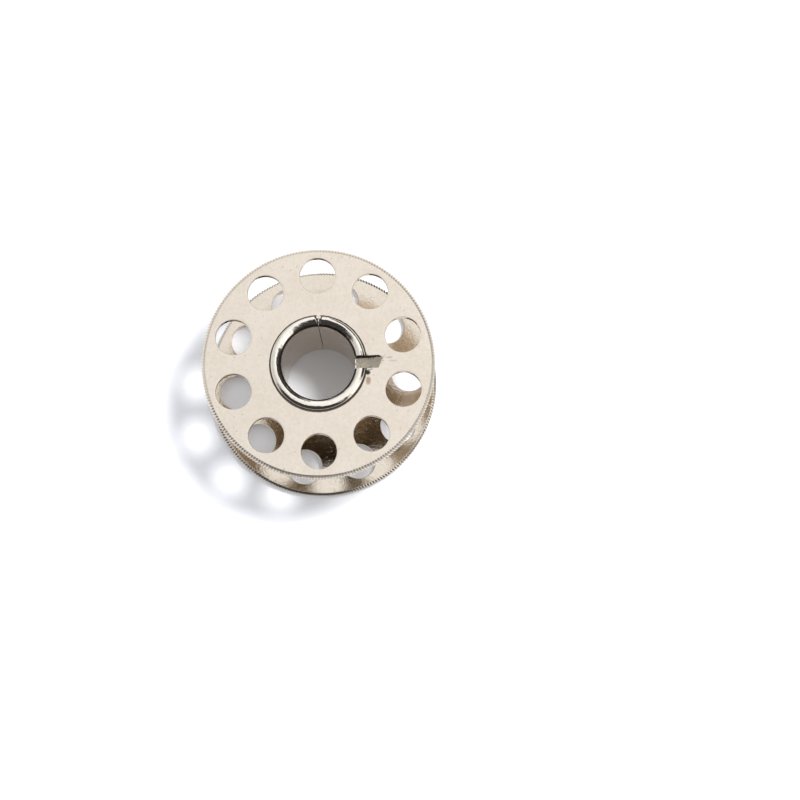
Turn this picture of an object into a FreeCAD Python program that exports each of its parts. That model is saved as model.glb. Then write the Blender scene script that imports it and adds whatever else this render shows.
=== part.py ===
import FreeCAD, Part
import math
import os

# A bare sewing machine bobbin, in millimetres. It stands on its lower lip at Z = 0,
# with its axis on +Z. Azimuths are in degrees, counted from +X towards +Y.

os.makedirs("parts", exist_ok=True)

# Stamped flange discs
flange_d = 20.3
flange_t = 0.6
bevel_reach = 0.28
bevel_drop = 0.2

# Straight knurl rolled into each flange's rim and bevel
knurl_teeth = 240
knurl_depth = 0.1

# Ring of round holes in each flange
hole_count = 10
hole_d = 3.1
hole_rim_web = 0.87
upper_hole_azimuth = 90.0
lower_hole_azimuth = 77.4

# Core tube, rolled from one strip that is thinner at the necks in the flanges
winding_width = 9.3
bore_d = 6.4
barrel_wall = 0.65
neck_wall = 0.45
neck_clearance = 0.02

# Curled lip that holds each flange against the barrel's shoulder
lip_reach = 0.92
lip_rise = 0.25
lip_crown_reach = 0.5
lip_crown_flat = 0.12
lip_edge_height = 0.11
lip_curl_steps = 3
lip_flank_steps = 2

# Butt seam, and the notch where the strip's ends part in the lip
seam_azimuth = 89.0
seam_gap = 0.04
notch_width = 0.64
notch_depth = 0.78
notch_sink = 0.15

# Slot for the winder's driving pin, milled across the lip and into the flange
slot_azimuth = 2.0
slot_offset = -0.1
slot_width = 1.07
slot_sink = 0.4
slot_run_out = 1.48
slot_run_out_steps = 4

# Radii, worked out from the sizes above
rim_r = flange_d / 2
hole_circle_r = rim_r - hole_rim_web - hole_d / 2
bore_r = bore_d / 2
barrel_r = bore_r + barrel_wall
neck_r = bore_r + neck_wall
lip_r = bore_r + lip_reach

# Levels, worked out from the sizes above
lower_face_z = lip_rise
winding_low_z = lower_face_z + flange_t
winding_high_z = winding_low_z + winding_width
upper_face_z = winding_high_z + flange_t
overall_height = upper_face_z + lip_rise

UP = FreeCAD.Vector(0, 0, 1)
ORIGIN = FreeCAD.Vector(0, 0, 0)


def polar(radius, azimuth, z=0.0):
    """A point at a radius and an azimuth in degrees."""
    angle = math.radians(azimuth)
    return FreeCAD.Vector(radius * math.cos(angle), radius * math.sin(angle), z)


def mirrored_to_lower_end(shape):
    """The same form at the other end, mirrored in the bobbin's middle plane."""
    middle = FreeCAD.Vector(0, 0, overall_height / 2)
    return shape.mirror(middle, UP)


def flat_face(corners):
    """Flat face bounded by straight edges through the corners."""
    return Part.Face(Part.makePolygon(corners + corners[:1]))


def knurled_outline(z):
    """Zigzag rim outline at a level: each tooth's tip, then the groove after it."""
    tooth_step = 360.0 / knurl_teeth
    points = []
    for tooth in range(knurl_teeth):
        points.append(polar(rim_r, tooth * tooth_step, z))
        points.append(polar(rim_r - knurl_depth, (tooth + 0.5) * tooth_step, z))
    return points


def flange_blank():
    """Disc with a knurled rim, inner face at Z = 0, bevelled at its outer face.

    The grooves run straight up the rim and fade out at the bevel's inner edge.
    """
    low = knurled_outline(0)
    high = knurled_outline(flange_t - bevel_drop)
    face_r = rim_r - bevel_reach
    inner = [polar(face_r, tooth * 360.0 / knurl_teeth, flange_t) for tooth in range(knurl_teeth)]
    faces = [flat_face(low), flat_face(inner)]
    for i in range(len(low)):
        j = (i + 1) % len(low)
        faces.append(flat_face([low[i], low[j], high[j], high[i]]))
    for tooth in range(knurl_teeth):
        following = (tooth + 1) % knurl_teeth
        tip = high[2 * tooth]
        groove = high[2 * tooth + 1]
        next_tip = high[2 * following]
        faces.append(flat_face([tip, groove, inner[tooth]]))
        faces.append(flat_face([groove, inner[following], inner[tooth]]))
        faces.append(flat_face([groove, next_tip, inner[following]]))
    return Part.Solid(Part.Shell(faces))


def punched(blank, first_azimuth):
    """The blank with its ring of holes and the hole for the tube's neck."""
    tools = [Part.makeCylinder(neck_r + neck_clearance, flange_t, ORIGIN, UP)]
    for k in range(hole_count):
        centre = polar(hole_circle_r, first_azimuth - k * 360.0 / hole_count)
        tools.append(Part.makeCylinder(hole_d / 2, flange_t, centre, UP))
    return blank.cut(tools)


def level_arc(start, end, steps):
    """Points along an arc in the XZ plane that leaves its start level."""
    run = end.x - start.x
    rise = end.z - start.z
    radius = (run ** 2 + rise ** 2) / (2 * abs(rise))
    turn = 2 * math.atan2(abs(rise), abs(run))
    points = [start]
    for k in range(1, steps):
        angle = turn * k / steps
        x = start.x + math.copysign(radius * math.sin(angle), run)
        z = start.z + math.copysign(radius * (1 - math.cos(angle)), rise)
        points.append(FreeCAD.Vector(x, 0, z))
    points.append(end)
    return points


def slot_cutter():
    """Straight slot along +X: flat floor, then a round run-out up to the upper face."""
    floor_z = upper_face_z - slot_sink
    top_z = overall_height + lip_rise
    end_r = lip_r + slot_run_out
    floor_end = FreeCAD.Vector(lip_r, 0, floor_z)
    face_end = FreeCAD.Vector(end_r, 0, upper_face_z)
    outline = [FreeCAD.Vector(0, 0, floor_z)]
    outline += level_arc(floor_end, face_end, slot_run_out_steps)
    outline.append(FreeCAD.Vector(end_r, 0, top_z))
    outline.append(FreeCAD.Vector(0, 0, top_z))
    cutter = flat_face(outline).extrude(FreeCAD.Vector(0, slot_width, 0))
    cutter.translate(FreeCAD.Vector(0, slot_offset - slot_width / 2, 0))
    cutter.rotate(ORIGIN, UP, slot_azimuth)
    return cutter


def tube_half_section():
    """Points of the upper half of the tube's wall: bore, curled lip, neck and shoulder."""
    crown_r = bore_r + lip_crown_reach
    inner_crown_r = crown_r - lip_crown_flat / 2
    outer_crown_r = crown_r + lip_crown_flat / 2
    curl_r = inner_crown_r - bore_r

    def at(radius, z):
        return FreeCAD.Vector(radius, 0, z)

    bore_top = at(bore_r, overall_height - curl_r)
    crown_in = at(inner_crown_r, overall_height)
    crown_out = at(outer_crown_r, overall_height)
    edge_top = at(lip_r, upper_face_z + lip_edge_height)
    points = level_arc(crown_in, bore_top, lip_curl_steps)[::-1]
    points += level_arc(crown_out, edge_top, lip_flank_steps)
    points.append(at(lip_r, upper_face_z))
    points.append(at(neck_r, upper_face_z))
    points.append(at(neck_r, winding_high_z))
    points.append(at(barrel_r, winding_high_z))
    return points


def notch_cutter():
    """Wedge that opens the upper lip outwards at the seam."""
    floor_z = upper_face_z - notch_sink
    apex_r = lip_r - notch_depth
    far_r = lip_r + lip_rise
    spread = (notch_width - seam_gap) / notch_depth
    far_width = seam_gap + spread * (far_r - apex_r)
    corners = [
        FreeCAD.Vector(apex_r, -seam_gap / 2, floor_z),
        FreeCAD.Vector(far_r, -far_width / 2, floor_z),
        FreeCAD.Vector(far_r, far_width / 2, floor_z),
        FreeCAD.Vector(apex_r, seam_gap / 2, floor_z),
    ]
    notch = flat_face(corners).extrude(UP * (overall_height + lip_rise - floor_z))
    notch.rotate(ORIGIN, UP, seam_azimuth)
    return notch


def core_tube():
    """Tube rolled round to its butt seam, with a lip, notch and driving slot at each end."""
    upper = tube_half_section()
    lower = [FreeCAD.Vector(p.x, 0, overall_height - p.z) for p in reversed(upper)]
    seam_turn = math.degrees(seam_gap / bore_r)
    tube = flat_face(upper + lower).revolve(ORIGIN, UP, 360 - seam_turn)
    tube.rotate(ORIGIN, UP, seam_azimuth + seam_turn / 2)
    upper_cuts = [notch_cutter(), slot_cutter()]
    return tube.cut(upper_cuts + [mirrored_to_lower_end(cutter) for cutter in upper_cuts])


def upper_flange():
    """Flange at the top, cut by the driving slot, with its bevel upwards."""
    disc = punched(flange_blank(), upper_hole_azimuth)
    disc.translate(UP * winding_high_z)
    return disc.cut(slot_cutter())


def lower_flange():
    """Flange at the bottom, its bevel downwards and its holes turned against the upper ones."""
    disc = punched(flange_blank(), lower_hole_azimuth)
    disc.translate(UP * winding_high_z)
    return mirrored_to_lower_end(disc.cut(slot_cutter()))


nodes = {
    "core_tube": core_tube(),
    "upper_flange": upper_flange(),
    "lower_flange": lower_flange(),
}
for name, shape in nodes.items():
    shape.exportStep("parts/" + name + ".step")
    box = shape.BoundBox
    print(name, "solids", len(shape.Solids), "valid", shape.isValid(),
          "volume %.3f" % shape.Volume, "z %.3f to %.3f" % (box.ZMin, box.ZMax))
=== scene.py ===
import math

import bmesh
import bpy
from mathutils import Matrix, Vector, noise


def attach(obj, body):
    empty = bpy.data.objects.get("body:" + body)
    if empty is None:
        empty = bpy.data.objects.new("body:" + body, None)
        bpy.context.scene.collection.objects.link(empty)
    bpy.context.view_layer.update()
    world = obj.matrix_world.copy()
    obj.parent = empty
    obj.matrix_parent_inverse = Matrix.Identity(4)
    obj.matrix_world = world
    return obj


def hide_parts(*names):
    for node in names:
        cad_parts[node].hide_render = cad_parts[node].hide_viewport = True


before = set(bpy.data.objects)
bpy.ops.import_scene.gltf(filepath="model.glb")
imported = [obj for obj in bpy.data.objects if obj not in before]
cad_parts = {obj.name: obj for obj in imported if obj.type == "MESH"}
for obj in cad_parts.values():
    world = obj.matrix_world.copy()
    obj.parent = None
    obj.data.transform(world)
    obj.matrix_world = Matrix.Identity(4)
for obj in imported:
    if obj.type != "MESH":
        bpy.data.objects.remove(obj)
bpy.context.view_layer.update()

# Lengths are in millimetres and angles in degrees until they reach Blender, except in
# the materials. Azimuths are counted from +X towards +Y. East is +X and south is -Y, as
# seen in the picture.
MM = 0.001

# Flanges, as in the part
FLANGE_R = 10.15
FLANGE_T = 0.6
BEVEL_REACH = 0.28
BEVEL_DROP = 0.2
TEETH = 240
KNURL = 0.1
HOLES = 10
HOLE_R = 1.55
HOLE_CIRCLE_R = 7.73
UPPER_AZIMUTH = 90.0
LOWER_AZIMUTH = 77.4
WINDING = 9.3

# Core tube, as in the part
BARREL_R = 3.85
NECK_R = 3.65
NECK_CLEARANCE = 0.02
BORE_R = 3.2
LIP_R = 4.12
LIP_RISE = 0.25
CROWN_R = 3.7
SEAM_AZIMUTH = 89.0
SEAM_GAP = 0.04
NOTCH_WIDTH = 0.64
NOTCH_APEX_R = 3.34

# Driving slot, as in the part
SLOT_AZIMUTH = 2.0
SLOT_OFFSET = -0.1
SLOT_WIDTH = 1.07
SLOT_DEPTH = 0.4
SLOT_END_R = 5.6

# Levels
LOW_FACE = LIP_RISE
LOW_INNER = LOW_FACE + FLANGE_T
HIGH_INNER = LOW_INNER + WINDING
HIGH_FACE = HIGH_INNER + FLANGE_T
HEIGHT = HIGH_FACE + LIP_RISE
MIDDLE = HEIGHT / 2

# Fine forms of the flanges that the solids leave out. Each tooth is given as steps
# along the rim, in shares of a tooth, with the share of the groove's depth there.
TOOTH = ((0.0, 0.0), (0.1, 0.0), (0.46, 1.0), (0.54, 1.0), (0.9, 0.0))
GROOVE_ERROR = 0.12
FACE_KNURL = 0.08
INNER_BEVEL = 0.18
HOLE_ROLL_WIDTH = 0.045
HOLE_ROLL_DEPTH = 0.04
HOLE_ROLL_STEPS = 7
HOLE_CHAMFER = 0.03
BORDER_INSET = 0.07
SIDE_STEPS = 16
ARC_STEPS = 22

# Torn slot at each end of the bobbin. Each noise is given as its amount and how fast it
# changes along the slot and across it.
SLOT_START = 2.2
SLOT_OVERRUN = 0.12
SLOT_TAPER_FROM = 5.15
SLOT_TAPER_LENGTH = 0.57
SLOT_TAPER = 0.55
SLOT_SLANT = (1.12, 0.32)
SLOT_SPREAD = 0.05
SLOT_DISH = 0.06
SIDE_WAVES = (0.05, 2.6, 3.0)
SIDE_TEARS = (0.09, 8.0, 5.0)
FLOOR_WAVES = (0.035, 3.1, 6.0)
FLOOR_TEARS = (0.02, 9.0, 12.0)
TEAR_SEED_STEP = 3.0

# Curled lip's profile, from its crown: bends as radius, tilt at the end and steps
CROWN_IN = 0.01
CROWN_OUT = 0.02
INNER_BENDS = ((0.3, 14.0, 5), (1.2, 27.0, 6))
INNER_LAST_STEPS = 8
OUTER_BENDS = ((0.72, 31.0, 8),)
OUTER_LAST_STEPS = 4
LIP_EDGE_RISE = 0.07
LIP_EDGE_TUCK = 0.06
LIP_FLOAT = 0.002
SHOULDER_CHAMFER = 0.03
WALL_STEPS = 6

# Columns of the tube's mesh round its axis, closer together near the seam
COLUMNS = 300
NOTCH_COLUMNS = 33
NOTCH_STEP = 0.3
SEAM_SOFT = 0.5
SEAM_SOFTENING = 0.035
SEAM_STOPS = (0.0, 0.12, 0.3, 0.6, 1.0)

# Unevenness of the curled lip
LEAN_NORTH = 0.2
LEAN_SOUTH = 0.09
WAVES = 3.7
NOTCH_ROUND = 0.13
NOTCH_ROUND_DROP = 0.1
NOTCH_SLOPE = 0.06

# Angles below which a surface is shaded smooth, and the distance that is welded
FLANGE_SMOOTH = 32.0
TUBE_SMOOTH = 40.0
WELD = 0.0004

# Seeds of the two torn slots
UPPER_SEED = 0.0
LOWER_SEED = 5.0

# Places of the finishes in each object's list of materials, after its main one
TORN = 1
# The second is a near-black finish that paints shade on walls
SHADE_PAINT = 2
BORE = 3


def polar(radius, azimuth, z=0.0):
    """A point at a radius, an azimuth and a level."""
    angle = math.radians(azimuth)
    return (radius * math.cos(angle), radius * math.sin(angle), z)


def uneven(x, y, z):
    """Smooth noise between about -1 and 1, the same in every run."""
    return noise.noise(Vector((x, y, z)))


def upper_level(z):
    """The level, or for a place below the middle its mirror image's level."""
    return abs(z - MIDDLE) + MIDDLE


def notch_half_width(radius):
    """Half the width of the lip's notch at a radius."""
    share = (radius - NOTCH_APEX_R) / (LIP_R - NOTCH_APEX_R)
    return SEAM_GAP / 2 + NOTCH_WIDTH / 2 * share


class Builder:
    """Points and faces, joined into one mesh."""

    def __init__(self):
        self.verts = []
        self.faces = []

    def ring(self, points):
        start = len(self.verts)
        self.verts.extend(points)
        return list(range(start, start + len(points)))

    def bridge(self, a, b, closed=True):
        count = len(a)
        for i in range(count if closed else count - 1):
            j = (i + 1) % count
            self.faces.append((a[i], a[j], b[j], b[i]))

    def loft(self, rings, closed=True):
        for a, b in zip(rings, rings[1:]):
            self.bridge(a, b, closed)

    def caps(self, first, last):
        self.faces.append(tuple(first))
        self.faces.append(tuple(reversed(last)))

    def object(self, name, smooth_angle=FLANGE_SMOOTH):
        mesh = bpy.data.meshes.new(name)
        mesh.from_pydata([(x * MM, y * MM, z * MM) for x, y, z in self.verts], [], self.faces)
        obj = bpy.data.objects.new(name, mesh)
        bpy.context.scene.collection.objects.link(obj)
        tidy(obj, smooth_angle)
        return obj


def tidy(obj, smooth_angle):
    """Welded, facing outwards, smooth below the angle and sharp above it."""
    work = bmesh.new()
    work.from_mesh(obj.data)
    bmesh.ops.remove_doubles(work, verts=work.verts, dist=WELD * MM)
    bmesh.ops.recalc_face_normals(work, faces=work.faces)
    limit = math.radians(smooth_angle)
    for face in work.faces:
        face.smooth = True
    for edge in work.edges:
        edge.smooth = len(edge.link_faces) != 2 or edge.calc_face_angle(0.0) < limit
    work.to_mesh(obj.data)
    work.free()
    obj.data.update()


def cut(obj, cutter, smooth_angle=FLANGE_SMOOTH):
    """Takes the cutter's shape out of the object and deletes the cutter."""
    mod = obj.modifiers.new("cut", "BOOLEAN")
    mod.operation = "DIFFERENCE"
    mod.solver = "EXACT"
    mod.object = cutter
    graph = bpy.context.evaluated_depsgraph_get()
    mesh = bpy.data.meshes.new_from_object(obj.evaluated_get(graph))
    obj.modifiers.clear()
    obj.data = mesh
    bpy.data.objects.remove(cutter)
    tidy(obj, smooth_angle)


def moved(obj, matrix):
    obj.data.transform(matrix)
    if matrix.determinant() < 0:
        obj.data.flip_normals()
    return obj


def turned(obj, azimuth):
    return moved(obj, Matrix.Rotation(math.radians(azimuth), 4, "Z"))


def mirrored(obj):
    """The object's mesh mirrored in the bobbin's middle plane."""
    middle = MIDDLE * MM
    flip = Matrix.Scale(-1.0, 4, Vector((0, 0, 1)))
    matrix = Matrix.Translation((0, 0, middle)) @ flip @ Matrix.Translation((0, 0, -middle))
    return moved(obj, matrix)


def rim_outline(radius, depth, z):
    """Rim points tooth by tooth, each groove with its own small error in depth."""
    points = []
    for tooth in range(TEETH):
        turn = tooth % (TEETH // HOLES)
        swing = 0.5 + 0.5 * math.sin(turn * 2.39) * math.cos(turn * 0.71)
        error = 1.0 - GROOVE_ERROR * swing
        for shift, inward in TOOTH:
            azimuth = (tooth + shift) * 360.0 / TEETH - 180.0 / HOLES
            points.append(polar(radius - depth * inward * error, azimuth, z))
    return points


def sector_border(radius_outer, depth, z):
    """Closed border of one hole's sector, centred on azimuth 0."""
    half = 180.0 / HOLES
    count = len(TOOTH) * TEETH // HOLES
    border = rim_outline(radius_outer, depth, z)[:count + 1]
    inner_r = NECK_R + NECK_CLEARANCE
    for k in range(1, SIDE_STEPS):
        radius = radius_outer + (inner_r - radius_outer) * k / SIDE_STEPS
        border.append(polar(radius, half, z))
    for k in range(ARC_STEPS + 1):
        border.append(polar(inner_r, half - 2 * half * k / ARC_STEPS, z))
    for k in range(1, SIDE_STEPS):
        radius = inner_r + (radius_outer - inner_r) * k / SIDE_STEPS
        border.append(polar(radius, -half, z))
    return border


def inset(border):
    """The border drawn in a little towards the hole."""
    points = []
    for x, y, z in border:
        keep = 1.0 - BORDER_INSET / math.hypot(x - HOLE_CIRCLE_R, y)
        points.append((HOLE_CIRCLE_R + (x - HOLE_CIRCLE_R) * keep, y * keep, z))
    return points


def around_hole(border, out, z):
    """One point round the hole for each of the border's, this far outside its wall."""
    points = []
    for x, y, _ in border:
        way = math.atan2(y, x - HOLE_CIRCLE_R)
        points.append((HOLE_CIRCLE_R + (HOLE_R + out) * math.cos(way),
                       (HOLE_R + out) * math.sin(way), z))
    return points


def sector_rings():
    """Rings of one hole's sector, from the outer face through the hole to the inner face."""
    upper = sector_border(FLANGE_R - BEVEL_REACH, FACE_KNURL, FLANGE_T)
    lower = sector_border(FLANGE_R - INNER_BEVEL, FACE_KNURL, 0.0)
    rings = [
        upper,
        inset(upper),
        around_hole(upper, 0.45, FLANGE_T),
        around_hole(upper, 0.26, FLANGE_T),
    ]
    for step in range(HOLE_ROLL_STEPS + 1):
        angle = math.pi / 2 * step / HOLE_ROLL_STEPS
        out = HOLE_ROLL_WIDTH * (1 - math.sin(angle))
        drop = HOLE_ROLL_DEPTH * (1 - math.cos(angle))
        rings.append(around_hole(upper, out, FLANGE_T - drop))
    rings.append(around_hole(upper, 0.0, FLANGE_T * 0.45))
    rings.append(around_hole(lower, 0.0, HOLE_CHAMFER))
    rings.append(around_hole(lower, HOLE_CHAMFER, 0.0))
    rings.append(around_hole(lower, 0.3, 0.0))
    rings.append(inset(lower))
    rings.append(lower)
    return rings


def plate(name):
    """Flange, inner face at z 0: knurled rim, soft punched edges, holes from azimuth 0 on."""
    build = Builder()
    rings = sector_rings()
    for k in range(HOLES):
        turn = math.radians(360.0 * k / HOLES)
        cosine = math.cos(turn)
        sine = math.sin(turn)
        placed = [[(x * cosine - y * sine, x * sine + y * cosine, z) for x, y, z in points]
                  for points in rings]
        build.loft([build.ring(points) for points in placed])
    wall_top = FLANGE_T - BEVEL_DROP
    rim = [
        rim_outline(FLANGE_R - INNER_BEVEL, FACE_KNURL, 0.0),
        rim_outline(FLANGE_R, KNURL, INNER_BEVEL * 0.5),
        rim_outline(FLANGE_R, KNURL, wall_top),
        rim_outline(FLANGE_R - BEVEL_REACH * 0.5, KNURL, wall_top + BEVEL_DROP * 0.6),
        rim_outline(FLANGE_R - BEVEL_REACH, FACE_KNURL, FLANGE_T),
    ]
    build.loft([build.ring(points) for points in rim])
    inner_r = NECK_R + NECK_CLEARANCE
    steps = ARC_STEPS * HOLES
    arc = [360.0 * k / steps - 180.0 / HOLES for k in range(steps)]
    low = build.ring([polar(inner_r, a, 0.0) for a in arc])
    high = build.ring([polar(inner_r, a, FLANGE_T) for a in arc])
    build.bridge(low, high)
    return build.object(name)


def ragged(kind, u, y, seed):
    """One of the slot's noises, at a place along the slot and across it."""
    amount, along, across = kind
    return amount * uneven(u * along, y * across, seed)


def slot_cutter(seed):
    """Slot at the upper end, with a torn floor, ragged sides and a slanting, tapered end."""
    across = 22
    along = 70
    length = SLOT_END_R + SLOT_OVERRUN - SLOT_START
    floor_z = HIGH_FACE - SLOT_DEPTH
    radius = ((SLOT_END_R - LIP_R) ** 2 + SLOT_DEPTH ** 2) / (2 * SLOT_DEPTH)
    build = Builder()
    rows_low = []
    rows_high = []
    for i in range(along + 1):
        u = SLOT_START + length * i / along
        narrowed = max(0.0, (u - SLOT_TAPER_FROM) / SLOT_TAPER_LENGTH)
        taper = 1.0 - SLOT_TAPER * narrowed ** 2
        low = []
        high = []
        for j in range(across + 1):
            v = j / across - 0.5
            side = round(v * 2)
            slant = SLOT_SLANT[0] - SLOT_SLANT[1] * v
            beyond = max(0.0, u - LIP_R) * slant
            rise = radius - math.sqrt(max(0.0, radius ** 2 - beyond ** 2))
            width = SLOT_WIDTH + SLOT_SPREAD
            width += ragged(SIDE_WAVES, u, side, seed)
            width += ragged(SIDE_TEARS, u, side, seed)
            y = v * width * taper + SLOT_OFFSET
            rough = ragged(FLOOR_WAVES, u, y, seed)
            rough += ragged(FLOOR_TEARS, u, y, seed + TEAR_SEED_STEP)
            dish = SLOT_DISH * (2 * abs(v)) ** 4
            low.append((u, y, floor_z + rise + rough + dish))
            high.append((u, y, HEIGHT + 0.4))
        rows_low.append(build.ring(low))
        rows_high.append(build.ring(high))
    build.loft(rows_low, closed=False)
    build.loft(rows_high, closed=False)
    for end in (0, -1):
        build.bridge([row[end] for row in rows_low], [row[end] for row in rows_high], closed=False)
    for end in (0, -1):
        build.bridge(rows_low[end], rows_high[end], closed=False)
    return turned(build.object("cutter"), SLOT_AZIMUTH)


def bend(r, z, radius, first_tilt, last_tilt, side, steps):
    """Profile points round a bend, from one tilt of the surface to another."""
    first = math.radians(first_tilt)
    points = []
    for k in range(1, steps + 1):
        tilt = math.radians(first_tilt + (last_tilt - first_tilt) * k / steps)
        points.append((r + side * radius * (math.sin(tilt) - math.sin(first)),
                       z - radius * (math.cos(first) - math.cos(tilt))))
    return points


def lip_side(crown, bends, side, end_r, last_steps):
    """Profile from the crown down one side of the lip, until it stands upright at a radius."""
    points = [crown]
    tilt = 0.0
    for radius, next_tilt, steps in bends:
        points += bend(*points[-1], radius, tilt, next_tilt, side, steps)
        tilt = next_tilt
    left = side * (end_r - points[-1][0])
    last_radius = left / (1 - math.sin(math.radians(tilt)))
    points += bend(*points[-1], last_radius, tilt, 90.0, side, last_steps)
    return points[1:]


def tube_outline():
    """Radii and levels of the wall: up the bore, over the lip, down outside and round."""
    crown = [(CROWN_R - CROWN_IN, HEIGHT), (CROWN_R + CROWN_OUT, HEIGHT)]
    inner = lip_side(crown[0], INNER_BENDS, -1, BORE_R, INNER_LAST_STEPS)
    outer = lip_side(crown[1], OUTER_BENDS, 1, LIP_R, OUTER_LAST_STEPS)
    bore_top = inner[-1][1]
    barrel_top = HIGH_INNER - SHOULDER_CHAMFER
    under_lip = HIGH_FACE + LIP_FLOAT
    upper = [(BORE_R, MIDDLE + (bore_top - MIDDLE) * k / WALL_STEPS) for k in range(WALL_STEPS)]
    upper += inner[::-1] + crown + outer
    upper += [
        (LIP_R, HIGH_FACE + LIP_EDGE_RISE),
        (LIP_R - LIP_EDGE_TUCK, under_lip),
        (NECK_R, under_lip),
        (NECK_R, HIGH_INNER),
        (BARREL_R - SHOULDER_CHAMFER, HIGH_INNER),
        (BARREL_R, barrel_top),
    ]
    for k in range(1, WALL_STEPS):
        upper.append((BARREL_R, barrel_top - (barrel_top - MIDDLE) * k / WALL_STEPS))
    lower = [(r, HEIGHT - z) for r, z in reversed(upper)][:-1]
    return upper + [(BARREL_R, MIDDLE)] + lower


def tube_columns():
    """Angles from the seam's middle, round the tube from one edge of its gap to the other."""
    edge = math.degrees(SEAM_GAP / BORE_R) / 2
    soft = [edge + stop * SEAM_SOFT for stop in SEAM_STOPS]
    fine = [edge + SEAM_SOFT + NOTCH_STEP * k for k in range(1, NOTCH_COLUMNS + 1)]
    start = fine[-1]
    rest = [start + (360 - 2 * start) * k / COLUMNS for k in range(1, COLUMNS)]
    near = soft + fine
    return near + rest + [360 - a for a in reversed(near)]


def lip_shift(r, z, x, y, angle):
    """How far a point of the lip moves outwards and towards the flange.

    X and Y are the point's direction. The curl leans out unevenly and has small waves,
    and the lip's edge is rounded off and falls away at the notch.
    """
    middle = math.sin(math.pi * min(1.0, max(0.0, (r - BORE_R) / (LIP_R - BORE_R))))
    out = (LEAN_NORTH if y > 0 else LEAN_SOUTH) * y * middle
    out += 0.025 * uneven(x * WAVES * 1.1, y * WAVES * 1.1, z * 0.22) * middle
    down = abs(0.013 * uneven(x * WAVES * 1.6, y * WAVES * 1.6, r * 3.2))
    clear = r * math.radians(min(angle, 360 - angle)) - notch_half_width(r)
    clear += 0.015 * math.sin(r * 19.0 + (2.0 if angle > 180 else 0.0))
    short = min(1.0, max(0.0, 1 - clear / NOTCH_ROUND))
    down += NOTCH_ROUND_DROP * middle * (1 - math.sqrt(1 - short ** 2))
    if clear < 0 and r > NOTCH_APEX_R:
        left = upper_level(z) - down - HIGH_FACE - 0.01
        down += max(0.0, left) * min(1.0, -clear / NOTCH_SLOPE)
    return out, down


def tube():
    """Rolled tube with both curled lips, open along its seam."""
    build = Builder()
    outline = tube_outline()
    seam_edge = math.degrees(SEAM_GAP / BORE_R) / 2
    rings = []
    for angle in tube_columns():
        near = min(angle, 360 - angle) - seam_edge
        ease = SEAM_SOFTENING * max(0.0, 1 - near / SEAM_SOFT) ** 2
        x, y, _ = polar(1.0, angle + SEAM_AZIMUTH)
        points = []
        for r, z in outline:
            out = 0.0
            down = 0.0
            if upper_level(z) > HIGH_FACE + 0.01 and r > BORE_R + 0.001:
                out, down = lip_shift(r, z, x, y, angle)
            if abs(r - BORE_R) < 0.001:
                out = ease
            if abs(r - BARREL_R) < SHOULDER_CHAMFER + 0.01:
                out = -ease
            points.append(((r + out) * x, (r + out) * y, z + (down if z < MIDDLE else -down)))
        rings.append(build.ring(points))
    build.loft(rings)
    build.caps(rings[0], rings[-1])
    return build.object("rolled_core", TUBE_SMOOTH)


def burr(obj, x, y, wide, tall, seed):
    """Small torn lump on the upper face, added to the flange's mesh."""
    layers = 7
    sides = 20
    build = Builder()
    rows = []
    for i in range(layers):
        climb = math.pi / 2 * i / layers
        z = HIGH_FACE - 0.02 + tall * math.sin(climb)
        points = []
        for k in range(sides):
            way = 2 * math.pi * k / sides
            swell = 1 + 0.5 * uneven(math.cos(way), math.sin(way), seed)
            far = wide * math.cos(climb) * swell
            points.append((x + far * math.cos(way), y + 0.6 * far * math.sin(way), z))
        rows.append(build.ring(points))
    build.loft(rows)
    build.caps(rows[-1], rows[0])
    lump = build.object("lump")
    work = bmesh.new()
    work.from_mesh(obj.data)
    work.from_mesh(lump.data)
    work.to_mesh(obj.data)
    work.free()
    bpy.data.objects.remove(lump)


def mark_slot_faces(obj):
    """Gives the slot's floor the torn finish, and its north wall and its end the near-black finish
    that paints their shade.
    """
    turn = Matrix.Rotation(math.radians(-SLOT_AZIMUTH), 4, "Z")
    for face in obj.data.polygons:
        spot = (turn @ face.center) / MM
        within = abs(spot.y - SLOT_OFFSET) < SLOT_WIDTH / 2 + 0.06
        within = within and BORE_R + 0.05 < spot.x < SLOT_END_R + 0.15
        deep = HIGH_FACE - SLOT_DEPTH - 0.1 < upper_level(spot.z) < HIGH_FACE - 0.004
        if within and deep:
            frayed = 0.1 * uneven(spot.x * 7.0, spot.y * 7.0, 2.0)
            north = spot.y > SLOT_OFFSET + SLOT_WIDTH / 2 - 0.14 + frayed
            at_end = spot.x > SLOT_END_R - 0.06 + frayed
            face.material_index = SHADE_PAINT if north or at_end else TORN


def mark_notch_faces(obj):
    """Gives the notch's sloping sides, at both ends, the near-black finish that paints their shade.
    """
    turn = Matrix.Rotation(math.radians(-SEAM_AZIMUTH), 4, "Z")
    for face in obj.data.polygons:
        spot = (turn @ face.center) / MM
        on_lip = NOTCH_APEX_R - 0.05 < spot.x < LIP_R + 0.1
        on_lip = on_lip and upper_level(spot.z) > HIGH_FACE + 0.003
        if on_lip and -0.1 < abs(spot.y) - notch_half_width(spot.x) < 0.02:
            face.material_index = SHADE_PAINT


def mark_bore_faces(obj):
    """Gives the bore's wall the darker, browner copy of the core's nickel, without the lightening
    that paints the lip's highlights.
    """
    for face in obj.data.polygons:
        spot = face.center / MM
        if math.hypot(spot.x, spot.y) < BORE_R + 0.02 and face.material_index == 0:
            face.material_index = BORE


def node(tree, kind, **values):
    """New node: each value goes to its property of that name, or else to its input."""
    made = tree.nodes.new(kind)
    for key, value in values.items():
        if hasattr(made, key):
            setattr(made, key, value)
        else:
            made.inputs[key.replace("_", " ")].default_value = value
    return made


def feed(tree, socket, value):
    """Sets a number on the input, or links another node's output to it."""
    if isinstance(value, float):
        socket.default_value = value
    else:
        tree.links.new(value, socket)


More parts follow.
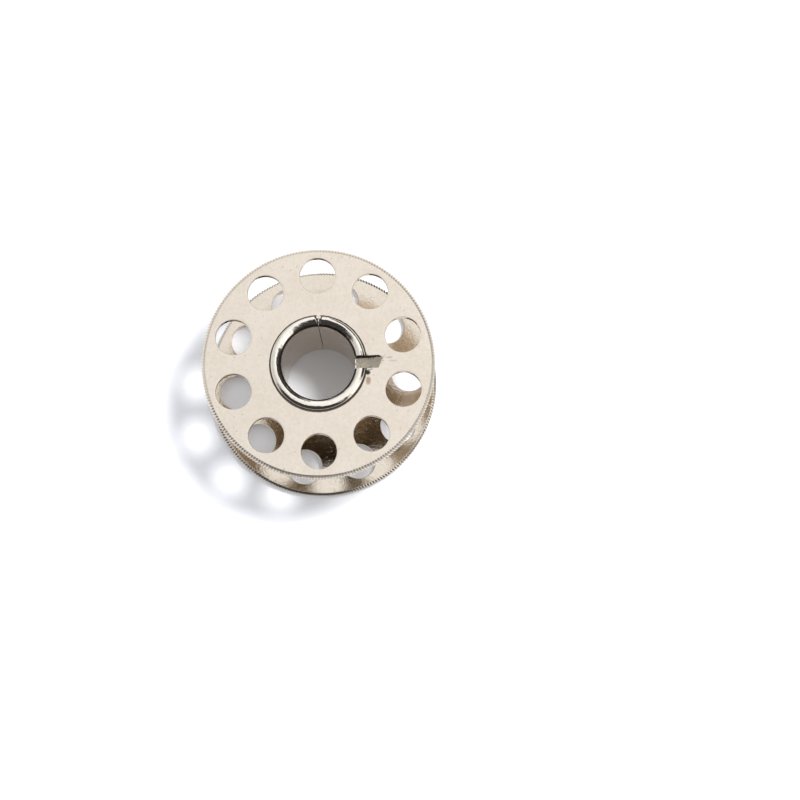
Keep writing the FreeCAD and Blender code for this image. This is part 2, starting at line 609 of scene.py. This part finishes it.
def maths(tree, operation, a, b=0.0, clamp=False):
    made = node(tree, "ShaderNodeMath", operation=operation, use_clamp=clamp)
    feed(tree, made.inputs[0], a)
    feed(tree, made.inputs[1], b)
    return made.outputs[0]


def map_range(tree, value, span, result, smooth=False):
    """Maps the span's two ends to the result's two values, and holds them beyond."""
    made = node(tree, "ShaderNodeMapRange",
                interpolation_type="SMOOTHSTEP" if smooth else "LINEAR",
                From_Min=span[0], From_Max=span[1], To_Min=result[0], To_Max=result[1])
    tree.links.new(value, made.inputs["Value"])
    return made.outputs["Result"]


def noise_level(tree, where, scale, detail, roughness):
    made = node(tree, "ShaderNodeTexNoise", Scale=scale, Detail=detail, Roughness=roughness)
    tree.links.new(where, made.inputs["Vector"])
    return made.outputs["Fac"]


def color_ramp(tree, value, low, high):
    """Ramp between two pairs of a position and a colour."""
    made = node(tree, "ShaderNodeValToRGB")
    for element, (position, color) in zip(made.color_ramp.elements, (low, high)):
        element.position = position
        element.color = (*color, 1.0)
    tree.links.new(value, made.inputs["Fac"])
    return made.outputs["Color"]


def multiplied(tree, color, factor):
    made = node(tree, "ShaderNodeMix", data_type="RGBA", blend_type="MULTIPLY")
    made.inputs[0].default_value = 1.0
    tree.links.new(color, made.inputs[6])
    tree.links.new(factor, made.inputs[7])
    return made.outputs[2]


# How much faster a ring fades across its circle, whose radius counts as 1, than in level
RING_SHARPNESS = 42.0

# Where a stain or a mark of painted shade, frayed by the noise, begins to fade and where it ends
STAIN_AND_SHADE_FADE = (1.05, 1.7)


def ring_reach(tree, near):
    """0 on a circle of radius 1 at level 0, growing with the distance from it."""
    flat = node(tree, "ShaderNodeVectorMath", operation="MULTIPLY")
    flat.inputs[1].default_value = (1.0, 1.0, 0.0)
    tree.links.new(near, flat.inputs[0])
    apart = node(tree, "ShaderNodeSeparateXYZ")
    tree.links.new(near, apart.inputs[0])
    radius = node(tree, "ShaderNodeVectorMath", operation="LENGTH")
    tree.links.new(flat.outputs["Vector"], radius.inputs[0])
    off_circle = maths(tree, "SUBTRACT", radius.outputs["Value"], 1.0)
    off_circle = maths(tree, "ABSOLUTE", off_circle)
    off_level = maths(tree, "ABSOLUTE", apart.outputs["Z"])
    return maths(tree, "ADD", maths(tree, "MULTIPLY", off_circle, RING_SHARPNESS), off_level)


def blot_reach(tree, near):
    """0 in the blot's middle, 1 at its size."""
    far = node(tree, "ShaderNodeVectorMath", operation="LENGTH")
    tree.links.new(near, far.inputs[0])
    return far.outputs["Value"]


def stain_or_painted_shade(tree, where, finish, frayed, mark):
    """The finish with one stain or one mark of painted shade over it. Each is a ring or a blot."""
    reach_of, spot, size, shade, strength = mark
    near = node(tree, "ShaderNodeMapping", vector_type="TEXTURE")
    near.inputs["Location"].default_value = [v * MM for v in spot]
    near.inputs["Scale"].default_value = [v * MM for v in size]
    tree.links.new(where, near.inputs["Vector"])
    reach = maths(tree, "ADD", reach_of(tree, near.outputs["Vector"]), frayed)
    made = node(tree, "ShaderNodeMix", data_type="RGBA")
    made.inputs[7].default_value = (*shade, 1.0)
    amount = map_range(tree, reach, STAIN_AND_SHADE_FADE, (strength, 0.0), smooth=True)
    tree.links.new(amount, made.inputs[0])
    tree.links.new(finish, made.inputs[6])
    return made.outputs[2]


# Noises of the nickel: scale per metre, detail and roughness
CLOUD = (420.0, 5.0, 0.6)
MOTTLE = (3300.0, 4.0, 0.75)
FRAY = (2600.0, 3.0, 0.65)
SPECK = (5200.0, 3.0, 0.7)
SWELL = (900.0, 2.0, 0.5)
PIT_SCALE = 1500.0
FLECK_COLOR = (0.94, 0.925, 0.89)
WHITE = (1.0, 1.0, 1.0)


def nickel(name, color, roughness, spread, grain, dark=0.0, marks=(), frost=(0.3, 0.72)):
    """Nickel plate: a cloudy tint, flecks, pits, stains and painted shade, and a fine uneven gloss.

    The cloud's low spots are darker by the share given as dark. The gloss falls off by
    the spread where the speckle rises from the first to the second level of the frost.
    The bumps' distances are in metres.
    """
    material = bpy.data.materials.new(name)
    material.use_nodes = True
    tree = material.node_tree
    shader = tree.nodes["Principled BSDF"]
    shader.inputs["Metallic"].default_value = 1.0
    where = node(tree, "ShaderNodeTexCoord").outputs["Object"]

    share = 0.95 - dark
    cloudy = (color[0] * share, color[1] * share * 0.985, color[2] * share * 0.96)
    cloud = noise_level(tree, where, *CLOUD)
    finish = color_ramp(tree, cloud, (0.3, cloudy), (0.68, color))
    mottle = noise_level(tree, where, *MOTTLE)
    flecks = color_ramp(tree, mottle, (0.32, FLECK_COLOR), (0.66, WHITE))
    finish = multiplied(tree, finish, flecks)
    dust = node(tree, "ShaderNodeTexVoronoi", Scale=PIT_SCALE)
    tree.links.new(where, dust.inputs["Vector"])
    pits = map_range(tree, dust.outputs["Distance"], (0.05, 0.11), (0.72, 1.0))
    finish = multiplied(tree, finish, pits)
    frayed = noise_level(tree, where, *FRAY)
    for mark in marks:
        finish = stain_or_painted_shade(tree, where, finish, frayed, mark)
    tree.links.new(finish, shader.inputs["Base Color"])

    speck = noise_level(tree, where, *SPECK)
    gloss = map_range(tree, speck, frost, (roughness, roughness + spread))
    tree.links.new(gloss, shader.inputs["Roughness"])
    fine = node(tree, "ShaderNodeBump", Strength=grain, Distance=0.00002)
    tree.links.new(speck, fine.inputs["Height"])
    broad = node(tree, "ShaderNodeBump", Strength=0.2, Distance=0.00001)
    tree.links.new(noise_level(tree, where, *SWELL), broad.inputs["Height"])
    tree.links.new(fine.outputs["Normal"], broad.inputs["Normal"])
    tree.links.new(broad.outputs["Normal"], shader.inputs["Normal"])
    return material


# Stains and painted shade on the upper flange: kind, place, size, colour and strength. The two rings
# are painted shade in the crevice round the lip's foot. The third from the last has the plate's own
# colour and clears that painted shade along the lip at the notch.
PLATE_COLOR = (0.675, 0.595, 0.5)
STAINS_AND_PAINTED_SHADE = (
    # Ring of painted shade in the crevice round the lip's foot
    (ring_reach, (0.0, 0.0, HIGH_FACE), (LIP_R + 0.03, LIP_R + 0.03, 0.15),
     (0.035, 0.025, 0.018), 0.97),
    (blot_reach, (4.33, -1.62, HIGH_FACE), (0.24, 0.38, 0.2), (0.27, 0.17, 0.1), 0.75),
    # Second ring of painted shade in that crevice, shifted south
    (ring_reach, (0.0, -0.07, HIGH_FACE), (LIP_R + 0.05, LIP_R + 0.05, 0.15),
     (0.05, 0.035, 0.022), 0.9),
    (blot_reach, (4.3, -0.9, HIGH_FACE), (0.26, 0.24, 0.2), (0.02, 0.015, 0.01), 0.97),
    (blot_reach, (0.075, 4.26, HIGH_FACE), (0.2, 0.2, 0.2), PLATE_COLOR, 1.0),
    (blot_reach, (6.15, 0.42, HIGH_FACE), (0.3, 0.12, 0.2), (0.4, 0.33, 0.26), 0.6),
    (blot_reach, (6.5, 0.12, HIGH_FACE), (0.4, 0.1, 0.2), (0.42, 0.36, 0.3), 0.5),
)

# Painted dark reflection: a dark line painted round the edge of the bore, at both ends
EDGE_DEPTH = 0.2
BORE_EDGE_PAINTED_REFLECTION = [
    (ring_reach, (0.0, 0.0, z), (BORE_R + out, BORE_R + out, 0.25), (0.03, 0.02, 0.014), 0.96)
    for z in (HEIGHT - EDGE_DEPTH, EDGE_DEPTH)
    for out in (0.04, 0.1, 0.155)
]

plated = nickel("nickel_plate", PLATE_COLOR, 0.06, 0.09, 0.14, marks=STAINS_AND_PAINTED_SHADE)
plated_low = nickel("nickel_lower", (0.66, 0.58, 0.48), 0.05, 0.3, 0.4, frost=(0.6, 0.72))
# The core's nickel is much lighter than the plate's: painted highlight that whitens the lip. The
# bore's wall gets a darker, browner copy.
core_nickel_painted_highlight = nickel("nickel_core_painted_highlight", (0.795, 0.73, 0.64), 0.06, 0.1, 0.28, marks=BORE_EDGE_PAINTED_REFLECTION)
plated_bore = nickel("nickel_bore", (0.7, 0.59, 0.48), 0.08, 0.12, 0.3)
# Near-black finish painted where the slot's north wall, the slot's end and the notch's sides lie in
# shade
painted_shade_wall = nickel("wall_painted_shade", (0.07, 0.055, 0.045), 0.35, 0.3, 0.6)
torn = nickel("torn_metal", (0.72, 0.635, 0.51), 0.4, 0.3, 1.0, dark=0.3)


def finish_with(obj, *materials):
    for material in materials:
        obj.data.materials.append(material)


def flange(name, azimuth, seed, material):
    """A flange in the upper one's place, with its slot."""
    obj = turned(plate(name), azimuth)
    moved(obj, Matrix.Translation((0, 0, HIGH_INNER * MM)))
    finish_with(obj, material)
    cut(obj, slot_cutter(seed))
    finish_with(obj, torn, painted_shade_wall)
    mark_slot_faces(obj)
    return obj


upper = flange("flange_upper", UPPER_AZIMUTH, UPPER_SEED, plated)
burr(upper, 4.36, -0.68, 0.15, 0.12, 1.0)
burr(upper, 4.6, -0.6, 0.12, 0.07, 4.0)
burr(upper, 4.3, 0.66, 0.1, 0.07, 7.0)
burr(upper, 5.62, 0.12, 0.09, 0.05, 9.0)

lower = mirrored(flange("flange_lower", LOWER_AZIMUTH, LOWER_SEED, plated_low))

core = tube()
finish_with(core, core_nickel_painted_highlight)
cut(core, slot_cutter(UPPER_SEED), TUBE_SMOOTH)
cut(core, mirrored(slot_cutter(LOWER_SEED)), TUBE_SMOOTH)
finish_with(core, torn, painted_shade_wall, plated_bore)
mark_slot_faces(core)
mark_notch_faces(core)
mark_bore_faces(core)

for obj, name in ((upper, "upper_flange"), (lower, "lower_flange"), (core, "core_tube")):
    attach(obj, "root")
    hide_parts(name)

# Floor: matt pale paper. A faint glow, which only the camera and the metal's reflections
# see, brings it to white where it is lit.
FLOOR_REACH = 3000.0
FLOOR_GLOW = 0.13
build = Builder()
build.faces.append(tuple(build.ring([(-FLOOR_REACH, -FLOOR_REACH, 0),
                                     (FLOOR_REACH, -FLOOR_REACH, 0),
                                     (FLOOR_REACH, FLOOR_REACH, 0),
                                     (-FLOOR_REACH, FLOOR_REACH, 0)])))
floor = build.object("floor")
paper = bpy.data.materials.new("paper")
paper.use_nodes = True
tree = paper.node_tree
shader = tree.nodes["Principled BSDF"]
shader.inputs["Base Color"].default_value = (0.86, 0.86, 0.875, 1.0)
shader.inputs["Roughness"].default_value = 0.9
shader.inputs["Specular IOR Level"].default_value = 0.1
shader.inputs["Emission Color"].default_value = (*WHITE, 1.0)
path = node(tree, "ShaderNodeLightPath")
seen = maths(tree, "ADD", path.outputs["Is Camera Ray"], path.outputs["Is Glossy Ray"], clamp=True)
seen = maths(tree, "ADD", seen, path.outputs["Is Transmission Ray"], clamp=True)
glow = maths(tree, "MULTIPLY", seen, FLOOR_GLOW)
tree.links.new(glow, shader.inputs["Emission Strength"])
floor.data.materials.append(paper)

# World: white up to just above the horizon, then a sky at half strength that is full
# from 45 degrees up and grows brighter towards the east. Round dark patches in the
# south and the east give the metal its dark reflections, and a pale patch stands low
# in the west.
SKY_COLOR = (1.25, 1.3, 1.39, 1.0)
DARKEST = 0.04
TABLE_EDGE = (8, 13)
SKY_EDGE = (34, 45)
# A patch's azimuth, its distance from the zenith, the radii where it is full and where
# it ends, and its level
DARK_PATCHES = (
    (-105, 29, 21, 25, 0.04),
    (-70, 34, 16, 20, 0.04),
    (-138, 34, 16, 20, 0.04),
    (15, 42, 14, 18, 0.03),
    (38, 43, 13, 17, 0.03),
    (60, 46, 14, 18, 0.03),
)
PALE_PATCH = (178, 72, 24, 40, 0.72)

world = bpy.data.worlds.new("room")
bpy.context.scene.world = world
world.use_nodes = True
tree = world.node_tree
background = tree.nodes["Background"]
way = node(tree, "ShaderNodeTexCoord").outputs["Generated"]


def along_way(x, y, z):
    """Cosine of the angle between the way looked and a direction."""
    made = node(tree, "ShaderNodeVectorMath", operation="DOT_PRODUCT")
    made.inputs[1].default_value = Vector((x, y, z)).normalized()
    tree.links.new(way, made.inputs[0])
    return made.outputs["Value"]


def patch(azimuth, off_zenith, full, end, inside, outside=1.0):
    """Round patch of the sky, with its own level inside and another outside."""
    off = math.radians(off_zenith)
    around = math.radians(azimuth)
    across = math.sin(off)
    near = along_way(across * math.cos(around), across * math.sin(around), math.cos(off))
    edge = (math.cos(math.radians(end)), math.cos(math.radians(full)))
    return map_range(tree, near, edge, (outside, inside), smooth=True)


def by_height(limits, low, high):
    """Level that changes between two elevations above the horizon."""
    edge = [math.sin(math.radians(limit)) for limit in limits]
    return map_range(tree, along_way(0.0, 0.0, 1.0), edge, (low, high), smooth=True)


to_east = map_range(tree, along_way(1.0, 0.35, 0.0), (-0.95, 0.6), (0.5, 1.25), smooth=True)
light = maths(tree, "MULTIPLY", to_east, by_height(SKY_EDGE, 0.5, 1.0))
for dark_patch in DARK_PATCHES:
    light = maths(tree, "MULTIPLY", light, patch(*dark_patch))
light = maths(tree, "MAXIMUM", light, DARKEST)
light = maths(tree, "MAXIMUM", light, patch(*PALE_PATCH, outside=0.0))
light = maths(tree, "MAXIMUM", light, by_height(TABLE_EDGE, 1.0, 0.0))
tree.links.new(light, background.inputs["Strength"])
background.inputs["Color"].default_value = SKY_COLOR

# Sun lamp from the picture's upper right, wide enough to soften the shadows. It isn't
# seen in the metal, where it would leave hard glints.
LAMP_FROM = (4.35, 2.33, 11.5)
LAMP_STRENGTH = 2.25
LAMP_WIDTH = 10.5
lamp_data = bpy.data.lights.new("lamp", "SUN")
lamp_data.energy = LAMP_STRENGTH
lamp_data.angle = math.radians(LAMP_WIDTH)
lamp = bpy.data.objects.new("lamp", lamp_data)
lamp.visible_glossy = False
lamp.rotation_euler = Vector(LAMP_FROM).to_track_quat("Z", "Y").to_euler()
bpy.context.scene.collection.objects.link(lamp)

# Camera: tilted off the bobbin's axis towards the south. The aim is where the bobbin's
# middle lies in the picture, in pixels from the upper left corner.
TILT = 10.76
SWING = -77.0
ROLL = -0.51
DISTANCE = 284.1
PICTURE = 800.0
FOCAL = 3222.0
AIM = (320.88, 374.15)
SENSOR = 36.0
tilt = math.radians(TILT)
swing = math.radians(SWING)
roll = math.radians(ROLL)
middle = Vector((0, 0, MIDDLE)) * MM
toward = Vector((math.sin(tilt) * math.cos(swing), math.sin(tilt) * math.sin(swing), math.cos(tilt)))
right = Vector((0, 1, 0)).cross(toward).normalized()
up = toward.cross(right)
right, up = (math.cos(roll) * right + math.sin(roll) * up,
             -math.sin(roll) * right + math.cos(roll) * up)
aim_x = (AIM[0] - PICTURE / 2) / FOCAL
aim_y = (PICTURE / 2 - AIM[1]) / FOCAL
back = (toward + right * aim_x + up * aim_y).normalized()
right = (right - back * right.dot(back)).normalized()
up = back.cross(right)
camera_data = bpy.data.cameras.new("camera")
camera_data.sensor_width = SENSOR
camera_data.lens = FOCAL / PICTURE * SENSOR
camera_data.clip_start = 0.01
camera_data.clip_end = 10.0
camera = bpy.data.objects.new("camera", camera_data)
place = Matrix((right, up, back)).transposed().to_4x4()
place.translation = middle + toward * DISTANCE * MM
camera.matrix_world = place
bpy.context.scene.collection.objects.link(camera)
bpy.context.scene.camera = camera
bpy.context.scene.view_settings.view_transform = "Standard"
